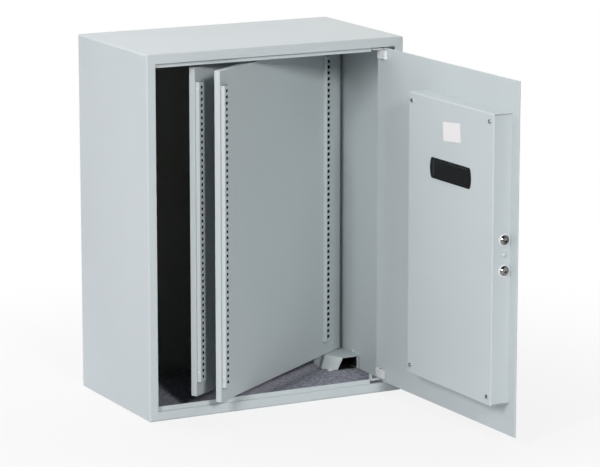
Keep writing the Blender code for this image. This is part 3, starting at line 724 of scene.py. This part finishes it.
def bracket_tabs(name, foot, up):
    """Two small folded tabs: a lip at the wall side of the mouth, and a toe that takes a screw. A
    thin near-black base lies under the bracket, painted shade in its mouth."""
    lip = [(0.3012, 0.0120), (0.3070, 0.0120), (0.3070, 0.0140), (0.3012, 0.0140)]
    base = [(0.2600, 0.0225), (0.3040, 0.0225), (0.3040, 0.1500), (0.2510, 0.1500), (0.2345, 0.0505)]
    toe = [(0.2508, 0.0265), (0.2402, 0.0380), (0.2300, 0.0282), (0.2322, 0.0205), (0.2395, 0.0170)]
    tabs = [
        flat_plate(lip, foot, BRACKET_TOP - 0.0004, up), flat_plate(toe, foot, foot + TOE_SHEET, up)]
    piece(name + "_tabs", tabs, "cabinet", powder_coat, bevel=0.0005)
    # The base is painted shade under the bracket's mouth.
    dark_shade = flat_plate(base, foot, foot + BASE_SHEET, up)
    piece(name + "_base", [dark_shade], "cabinet", painted_shade_steel)


leaf_bracket("lower_leaf_bracket", mat_high.z + GAP, 1.0)
leaf_bracket("upper_leaf_bracket", SHEET + 2 * GAP, -1.0)

# %% [markdown]
# ## The door plate and its hinge blocks
#
# The door is a plain plate of 3 mm, and a steel block is welded to it at each hinge. Both are boxes
# with broken edges, so a rectangle carried a short way and beveled is enough.

# %% Door plate and hinge blocks
def block(low, high):
    """A box between two corners, as an outline in depth and height carried along X."""
    (x0, y0, z0), (x1, y1, z1) = low, high
    return prism([(y0, z0), (y1, z0), (y1, z1), (y0, z1)], x0, x1)


DOOR_EDGE = RIM + 0.002
DOOR_FREE, DOOR_HINGE_SIDE = 0.025 - (WIDTH - 2 * DOOR_EDGE), 0.025
plate = block(
    (DOOR_FREE, DOOR_INNER - DOOR_SHEET, DOOR_EDGE),
    (DOOR_HINGE_SIDE, DOOR_INNER, HEIGHT - DOOR_EDGE))
piece("door_sheet", [plate], "door", powder_coat, ["door_plate"], "door_hinge", bevel=0.0007)
for level in ("lower", "upper"):
    low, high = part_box(level + "_hinge_block")
    solid = block((-0.018, DOOR_INNER + GAP, low.z), (0.015, 0.0038, high.z))
    piece(level + "_hinge_knuckle", [solid], "door", satin_zinc, [level + "_hinge_block"],
          "door_hinge", bevel=0.0011)

# %% [markdown]
# ## The lock case
#
# The case on the door is a deep folded tray with a small round. It has a window behind the black
# insert and two round holes for the bolts. Each hole sits in one cell of the grid: the cell is left
# out and filled by four flat faces that run from its corners to the circle.

# %% Lock case
CASE_X, CASE_Z, CASE_DEPTH, CASE_ROUND = (0.185, 0.524), (0.091, 0.709), 0.045, 0.0022
CASE_FACE = DOOR_INNER + CASE_DEPTH
BOLT_Z, BOLT_DEEP, BOLT_RADIUS = (0.378, 0.443), DOOR_INNER + 0.016, 0.0105
HOLE_REACH, HOLE_RADIUS = 0.016, 0.0128
WINDOW_X, WINDOW_Z = (0.2846, 0.4284), (0.5421, 0.5769)


def round_hole(at, deep, middle, corners, radius, steps=8):
    """Four flat faces from the corners of a cell, on a wall at that distance, to a circle in it."""
    start = np.radians(225.0) + np.arange(4)[:, None] * np.pi / 2
    angle = start + np.linspace(0.0, np.pi / 2, steps + 1)[None, :]
    rim = np.stack([deep + radius * np.cos(angle), middle + radius * np.sin(angle)], -1).reshape(-1, 2)
    flat = np.concatenate([np.asarray(corners, float), rim])
    points = np.column_stack([np.full(len(flat), at), flat])
    ring = 4 + np.arange(len(rim)).reshape(4, -1)
    return points, [[side, (side + 1) % 4, *ring[side][::-1]] for side in range(4)]


def lock_case():
    """The tray is drawn from its own face: across the door to the free edge, and out of it. Its depth
    grows towards the door."""
    xs = [CASE_X[0], *WINDOW_X, CASE_X[1]]
    holes = [z + side * HOLE_REACH for z in BOLT_Z for side in (-1, 1)]
    zs = [CASE_Z[0], *holes, *WINDOW_Z, CASE_Z[1]]
    cell = (-BOLT_DEEP - HOLE_REACH, -DOOR_INNER - GAP)
    fold = arc(CASE_ROUND, CASE_ROUND - CASE_FACE, CASE_ROUND, -90, -180, 6)
    profile = np.concatenate([fold, [[0.0, cell[0]], [0.0, cell[1]]]])
    around = len(rim_loop(xs, zs, 0.0, CASE_ROUND))
    wall = around - (len(zs) - 2)
    row = len(profile) - 2
    parts = tray(xs, zs, profile, CASE_ROUND, windows=[(5, 1)], skip=[(row, wall), (row, wall + 2)])
    for z in BOLT_Z:
        low, high = z - HOLE_REACH, z + HOLE_REACH
        corners = [(cell[0], low), (cell[1], low), (cell[1], high), (cell[0], high)]
        parts.append(round_hole(CASE_X[1], -BOLT_DEEP, z, corners, HOLE_RADIUS))
    return parts


piece("lock_case_tray", lock_case(), "door", powder_coat, ["lock_case"],
      "door_hinge", True, sheet=0.0012)

# %% [markdown]
# ## The black insert
#
# A black moulding is set into the case: a flat flange with bowed short ends, and a raised lid with
# beveled ends inside it. The outline is a rectangle with rounded corners whose ends are pushed out by
# a parabola. A row that steps in by some distance steps in twice as far at the short ends, so the
# flange and the bevels are wider there, and the bevel nearer the light gives the thin highlight.

# %% Black insert
INSERT_AT, INSERT_HALF = (0.3565, 0.5595), (0.0770, 0.0225)
INSERT_BOW, INSERT_CORNER = 0.0050, 0.004


def bowed(rows):
    """Loops round the insert's centre: a rounded rectangle, stepped in along X and Z as the rows say,
    whose ends then move out by a parabola, bow times (1 - (z/h)^2)."""
    loops = []
    for along, inset, deep in rows:
        x, z = INSERT_HALF[0] - along, INSERT_HALF[1] - inset
        soft = max(INSERT_CORNER - inset, 0.0)
        up = np.r_[-z, np.linspace(-1, 1, 15)[1:-1] * (z - soft), z]
        loops.append(rim_loop([-x, x], up, 0.0, soft))
    flat = np.concatenate(loops)
    x, z = flat.T
    push = np.sign(x) * (np.abs(x) / INSERT_HALF[0]) ** 8 * (1.0 - (z / INSERT_HALF[1]) ** 2)
    x = x + INSERT_BOW * push
    deep = np.repeat(np.asarray(rows)[:, 2], len(loops[0]))
    return np.stack([x + INSERT_AT[0], deep, z + INSERT_AT[1]], 1), len(loops[0])


def flange(rows):
    """A closed frame: the rows wrap round from the last to the first."""
    points, around = bowed(rows)
    return points, quads(len(rows), around, True, True)


def raised_lid(rows, crown):
    """A lid: loops that step in from its edge to a line along its middle, raised by a parabola."""
    share = np.linspace(0.0, 1.0, 10)[1:, None]
    middle = np.array([[2 * INSERT_HALF[1], INSERT_HALF[1], -CASE_FACE - GAP]])
    steps = rows[-1, :2] + (middle[0, :2] - rows[-1, :2]) * share
    dome = np.concatenate([steps, rows[-1, 2] - crown * (1 - (1 - share) ** 2)], 1)
    rows = np.concatenate([middle, rows, dome])
    points, around = bowed(rows)
    return points, quads(len(rows), around, False, True)


base, rim_top, lid_top = -CASE_FACE - GAP, -CASE_FACE - 0.0011, -CASE_FACE - 0.0034
flange_rows = np.concatenate([
    [[0.0, base]], arc(0.0006, rim_top + 0.0006, 0.0006, 180, 270, 4),
    [[0.0036, rim_top], [0.0038, base]]])
flange_rows = flange_rows[:, [0, 0, 1]] * [2.0, 1.0, 1.0]
piece("insert_flange", [flange(flange_rows)], "door", black_plastic,
      ["insert_bezel"], "door_hinge", True)
lid_rows = np.array([
    [0.0080, 0.0040, base], [0.0080, 0.0040, rim_top - 0.0001], [0.0086, 0.0043, rim_top - 0.0003],
    [0.0166, 0.0052, lid_top]])
piece("insert_cover", [raised_lid(lid_rows, 0.0003)], "door", black_plastic,
      ["insert_lid"], "door_hinge", True, sharp=8.0)

# %% [markdown]
# ## The blank label
#
# A sticker sits above the insert, a little crooked, as stickers do. It is left blank. A real one is
# thin with rounded corners, so a flat tray 0.4 mm deep stands for it, turned by five degrees.

# %% Blank label
LABEL_X, LABEL_Z, LABEL_TURN = (0.326, 0.395), (0.626, 0.667), math.radians(5.2)


def sticker():
    """A thin closed tray, turned in its own plane about its middle."""
    face = -CASE_FACE - 0.0007
    rows = np.array([[0.0021, face], [0.0002, face], [0.0, face + 0.00015], [0.0, -CASE_FACE - GAP]])
    parts = closed_tray(LABEL_X, LABEL_Z, rows, 0.0021)
    middle = np.array([sum(LABEL_X) / 2, 0.0, sum(LABEL_Z) / 2])
    cos, sin = math.cos(LABEL_TURN), math.sin(LABEL_TURN)
    turn = np.array([[cos, 0.0, -sin], [0.0, 1.0, 0.0], [sin, 0.0, cos]])
    return [((points - middle) @ turn.T + middle, faces) for points, faces in parts]


piece("blank_sticker", sticker(), "door", blank_paper, ["blank_label"], "door_hinge", True)

# %% [markdown]
# ## Bolts, collars, screws and rivets
#
# Everything round on the case is a turned piece: a profile of radius and height spun round an axis.
# The bolts end in a flat face with a shallow dimple and a broad chamfer, and ride on the bolt work,
# while the collars ride on the door. Two thin near-black blocks at the case's corners are painted
# shade in the seams there.

# %% Turned fasteners
OUT_OF_SIDE, OUT_OF_FACE = (-1.0, 0.0, 0.0), (0.0, 1.0, 0.0)
SEAM_OUT, SEAM_IN, SEAM_TALL = 0.00012, 0.0006, 0.0009


def bolt_profile():
    """Down the outer side from the dimple in the end: radius, height above the case's side."""
    tip, bar = 0.006, BOLT_RADIUS
    dimple = [(0.0, tip - 0.0004), (0.0016, tip - 0.00035), (0.0030, tip - 0.0001), (0.0040, tip)]
    chamfer = [(bar - 0.0029, tip), (bar - 0.0026, tip - 0.0002), (bar - 0.0002, tip - 0.0030)]
    return dimple + chamfer + [(bar, tip - 0.0033), (bar, tip - 0.048), (0.0, tip - 0.048)]


def collar_profile():
    """A closed ring round the bolt with a rounded lip outside the case."""
    bore, lip, high, body = BOLT_RADIUS + GAP, 0.0135, 0.0025, 0.0125
    edge = arc(lip - 0.0012, high - 0.0012, 0.0012, 90, 0, 4)
    sleeve = [(lip, GAP), (body, GAP), (body, -0.007), (bore, -0.007)]
    return [(bore, high - 0.0006), (bore + 0.0006, high), *edge, *sleeve]


def screw_profile():
    """A domed head with a round socket in its middle, and its shank."""
    radii = (0.0018, 0.0024, 0.0031, 0.0038, 0.0044, 0.0048, 0.0050)
    dome = [(r, GAP + 0.0026 * math.sqrt(1 - (r / radii[-1]) ** 2)) for r in radii]
    socket = [(0.0, 0.0010), (0.0014, 0.0011), (0.0016, 0.0026)]
    return [*socket, *dome, (0.0020, GAP), (0.0020, -0.006), (0.0, -0.006)]


def dome_profile(radius, height):
    """A round rivet head: height times sqrt(1 - (r/R)^2), flat below."""
    r = radius * np.sin(np.linspace(0.0, np.pi / 2, 9))
    return [*zip(r, GAP + height * np.sqrt(np.clip(1 - (r / radius) ** 2, 0, 1))), (0.0, GAP)]


for level, z in zip(("lower", "upper"), BOLT_Z):
    seat = (-CASE_X[1], BOLT_DEEP, z)
    bolt = turned(bolt_profile(), seat, OUT_OF_SIDE)
    piece(level + "_round_bolt", [bolt], "bolt_work", plated_steel, [level + "_bolt"],
          "door_hinge")
    ring = turned(collar_profile() + collar_profile()[:1], seat, OUT_OF_SIDE)
    piece(level + "_bolt_collar", [ring], "door", satin_zinc, [level + "_collar"],
          "door_hinge")
    for side, x in (("hinge_side", -0.197), ("free_side", -0.508)):
        height = CASE_Z[0] + 0.0175 if level == "lower" else CASE_Z[1] - 0.0175
        name = f"{level}_{side}_screw"
        head = turned(screw_profile(), (x, CASE_FACE, height), OUT_OF_FACE, 32)
        piece(name + "_head", [head], "door", plated_steel, [name], "door_hinge")
# The seam blocks are painted shade in the gaps at the case's corners.
seams = [
    block((-CASE_X[1] - SEAM_OUT, DOOR_INNER + 0.001, z),
          (-CASE_X[1] + SEAM_IN, CASE_FACE - 0.0022, z + SEAM_TALL))
    for z in (CASE_Z[0] + 0.0022, CASE_Z[1] - 0.0031)]
piece("case_corner_seams", seams, "door", painted_shade_steel, joint="door_hinge")
rivet = turned(dome_profile(0.0050, 0.0052), (-CASE_X[1], DOOR_INNER + 0.017, 0.412), OUT_OF_SIDE, 32)
piece("case_side_rivet", [rivet], "door", powder_coat, ["case_rivet"], "door_hinge")

# %% [markdown]
# ## The knob and the entry panel
#
# Outside the door a knob throws the bolts. Its round foot turns into a flat grip, so each height has
# a section of its own: a superellipse that goes from a circle to a narrow bar. The entry panel
# is a plain black plate with a sunken face, left blank.

# %% Knob, rosette and entry panel
SPINDLE, KNOB_TURN = (-0.420, 0.4105), math.radians(30.0)
OUTER_FACE = DOOR_INNER - DOOR_SHEET - GAP


def turn_grip(steps=64):
    """At each height the section is a superellipse: half sizes times |cos|^(2/p) and |sin|^(2/p). The
    half sizes and p run from the round foot to the bar along a smooth step, then close at the top."""
    height = np.r_[
        0.0043, 0.0046, 0.0060, 0.0085, np.linspace(0.012, 0.038, 22),
        0.0400, 0.0412, 0.0420, 0.0423, 0.0423]
    foot = np.interp(
        height, [0.0043, 0.0046, 0.0060, 0.0085, 0.024, 0.030],
        [0.0135, 0.0145, 0.0165, 0.0183, 0.0200, 0.0195])
    blend = np.clip((height - 0.0245) / 0.0085, 0.0, 1.0)
    blend = blend * blend * (3 - 2 * blend)
    close = np.interp(
        height, [0.0, 0.038, 0.0400, 0.0412, 0.0420, 0.0423], [1.0, 1.0, 0.985, 0.94, 0.84, 0.60])
    close[0], close[-1] = 0.0, 0.0
    across = (foot * (1 - blend) + 0.0048 * blend) * close
    along = (foot * (1 - blend) + 0.0158 * blend) * close
    power = 2 + 2.2 * blend
    angle = np.linspace(0.0, 2 * np.pi, steps, endpoint=False)
    cos, sin = np.cos(angle), np.sin(angle)
    x = across[:, None] * np.sign(cos) * np.abs(cos) ** (2 / power[:, None])
    z = along[:, None] * np.sign(sin) * np.abs(sin) ** (2 / power[:, None])
    c, s = math.cos(KNOB_TURN), math.sin(KNOB_TURN)
    deep = np.broadcast_to(OUTER_FACE - height[:, None], x.shape)
    points = np.stack([x * c + z * s + SPINDLE[0], deep, z * c - x * s + SPINDLE[1]], -1)
    return points.reshape(-1, 3), quads(len(height), steps, wrap_cols=True)


piece("turn_grip", [turn_grip()], "knob", black_plastic, ["turn_knob"],
      "door_hinge", sharp=60.0)
bore = 0.0058
rosette = [
    (bore, 0.0), (bore, 0.004), *arc(0.0275, 0.0015, 0.0025, 90, 0, 5), (0.030, 0.0), (bore, 0.0)]
ring = turned(rosette, (SPINDLE[0], OUTER_FACE, SPINDLE[1]), (0.0, -1.0, 0.0), 64)
piece("rosette_ring", [ring], "door", plated_steel, ["knob_rosette"], "door_hinge")
entry_rows = np.concatenate([
    [[0.0075, OUTER_FACE - 0.0108], [0.0060, OUTER_FACE - 0.0120]],
    arc(0.003, OUTER_FACE - 0.009, 0.003, 270, 180, 6), [[0.0, OUTER_FACE]]])
entry_x, entry_z = [SPINDLE[0] - 0.035, SPINDLE[0] + 0.035], [0.505, 0.615]
entry = closed_tray(entry_x, entry_z, entry_rows, 0.006)
piece("entry_plate", entry, "door", black_plastic, ["entry_panel"], "door_hinge")

# %% [markdown]
# ## Small rivets
#
# The picture shows small bright dots: a rivet low on the right wall, fasteners on the bracket, rivets
# on the leaves and a stud on the side of each front rail. They are domes, so small that mostly their
# highlight is seen.

# %% Rivets on the wall, the bracket and the leaves
UPWARD, OUT_OF_LEAF = (0.0, 0.0, 1.0), (0.0, -1.0, 0.0)
wall = turned(
    dome_profile(0.0036, 0.0024), (WIDTH / 2 - SHEET, 0.042, 0.041), OUT_OF_SIDE, 24)
piece("wall_rivet_head", [wall], "cabinet", satin_zinc, ["wall_rivet"])
plate_rivet = turned(dome_profile(0.0034, 0.0022), (0.2809, 0.0401, BRACKET_TOP), UPWARD, 24)
toe_top = mat_high.z + GAP + TOE_SHEET
foot_screw = turned(dome_profile(0.0040, 0.0026), (0.2385, 0.0268, toe_top), UPWARD, 24)
piece("bracket_fasteners", [plate_rivet, foot_screw], "cabinet", satin_zinc)
for leaf in ("front_leaf", "rear_leaf"):
    beside = [
        turned(dome_profile(0.0026, 0.0016), (-0.0307, -LEAF_HALF, z), OUT_OF_LEAF, 20)
        for z in (0.0577, HEIGHT - 0.0577)]
    edge = RAIL_AT["free_rail"] - RAIL_WIDTH / 2
    lugs = [
        turned(dome_profile(0.0026, 0.0022), (edge, -LEAF_HALF - 0.0040, z), OUT_OF_SIDE, 20)
        for z in (0.0922, 0.7157)]
    piece(leaf + "_rivets", beside + lugs, leaf, satin_zinc, joint=leaf + "_swing")

# %% [markdown]
# ## Floor and light
#
# The picture was taken on a white sweep in a dark studio: the background is white and close, and the
# room behind the camera is dark. A soft lamp in front lights the leaves, another at the left throws
# the shadows between them, and a weak one above lifts the top. So the sky is white behind the cabinet
# and dim before it. The floor is plain white for the
# camera and for mirror rays, more so with distance, and near the cabinet it still takes a shadow.

# %% Floor, sky and lamps
FLOOR_WHITE = 0.82
MIDDLE = (0.0, -0.2, 0.4)


def ray_kinds(tree, *kinds):
    """1 for rays of these kinds and 0 for the rest."""
    path = Flow(tree).add("LightPath").socket.node.outputs
    total = Flow(tree, path[kinds[0]])
    for kind in kinds[1:]:
        total = total + Flow(tree, path[kind])
    return total


def make_floor():
    """A flat sheet from just before the cabinet to far behind it. Its white share grows with the
    distance from the cabinet, from where the shadow is to the plain background."""
    material = bpy.data.materials.new("white_sweep")
    material.use_nodes = True
    tree = material.node_tree
    paint = tree.nodes["Principled BSDF"]
    paint.inputs["Base Color"].default_value = (0.62, 0.62, 0.66, 1.0)
    paint.inputs["Roughness"].default_value = 0.9
    place = Flow(tree).add("TexCoord", out="Object")
    away = place.add("VectorMath", {"operation": "DISTANCE"}, {0: place, 1: (0.0, -0.2, 0.0)}, "Value")
    share = FLOOR_WHITE + (1.0 - FLOOR_WHITE) * away.steps(0.45, 1.5)
    white = place.add("Emission", None, {"Color": (1.0, 1.0, 1.0, 1.0), "Strength": 1.0})
    seen = ray_kinds(tree, "Is Camera Ray", "Is Glossy Ray", "Is Transmission Ray")
    mixed = place.add("MixShader", None, {0: seen * share, 1: Flow(tree, paint.outputs[0]), 2: white})
    tree.links.new(mixed.socket, tree.nodes["Material Output"].inputs["Surface"])
    x, y = np.meshgrid([-14.0, 14.0], [-2.4, 14.0])
    mesh = bpy.data.meshes.new("floor")
    corners = np.stack([x.ravel(), y.ravel(), np.full(4, -0.0006)], 1)
    mesh.from_pydata(corners.tolist(), [], quads(2, 2).tolist())
    made = bpy.data.objects.new("floor", mesh)
    bpy.context.scene.collection.objects.link(made)
    made.data.materials.append(material)


def make_sky(front, back):
    """The sky's strength rises from front to back, and is white wherever the camera sees it."""
    world = bpy.data.worlds.new("studio")
    bpy.context.scene.world = world
    world.use_nodes = True
    tree = world.node_tree
    sky = tree.nodes["Background"]
    sky.inputs["Color"].default_value = (1.0, 1.0, 1.0, 1.0)
    direction = Flow(tree).add("TexCoord", out="Generated")
    behind = direction.add("SeparateXYZ", None, {0: direction}, "Y").steps(-0.25, 0.45)
    studio = front + (back - front) * behind
    seen = ray_kinds(tree, "Is Camera Ray", "Is Transmission Ray")
    tree.links.new((studio + seen * (1.0 - studio)).socket, sky.inputs["Strength"])


def soft_lamp(name, place, aim, size, power, colour=(1.0, 1.0, 1.0)):
    lamp = bpy.data.lights.new(name, "AREA")
    lamp.shape, lamp.size, lamp.size_y = "RECTANGLE", *size
    lamp.energy, lamp.color = power, colour
    made = bpy.data.objects.new(name, lamp)
    made.location = place
    away = made.location - type(made.location)(aim)
    made.rotation_euler = away.to_track_quat("Z", "Y").to_euler()
    bpy.context.scene.collection.objects.link(made)


make_floor()
make_sky(0.01, 1.18)
soft_lamp("key", (-0.80, -6.3, 3.05), MIDDLE, (0.9, 1.0), 205.0)
soft_lamp("left", (-4.50, -3.2, 2.8), MIDDLE, (0.9, 1.8), 182.0, (1.0, 0.98, 1.0))
soft_lamp("above", (-0.6, 1.2, 2.7), (0.0, 0.0, 0.8), (1.6, 1.6), 14.0, (1.0, 0.95, 1.0))

# %% [markdown]
# ## Camera
#
# The camera stands where the picture was taken: to the left of the cabinet, above its top, with a
# long lens. Its place comes from fitting the corners of the box in the picture.

# %% Camera and the end
CAMERA_AT, CAMERA_YAW, CAMERA_PITCH = (-3.03227, -6.13659, 1.77019), 0.4781, -0.2040
PIXELS_WIDE, FOCAL_PIXELS = 600.0, 3137.6
lens = bpy.data.cameras.new("camera")
lens.sensor_width, lens.lens = 36.0, FOCAL_PIXELS / PIXELS_WIDE * 36.0
camera = bpy.data.objects.new("camera", lens)
camera.location = CAMERA_AT
camera.rotation_euler = (math.pi / 2 + CAMERA_PITCH, 0.0, -CAMERA_YAW)
lens.clip_end = 100.0
bpy.context.scene.collection.objects.link(camera)
bpy.context.scene.camera = camera
bpy.context.scene.view_settings.view_transform = "Standard"
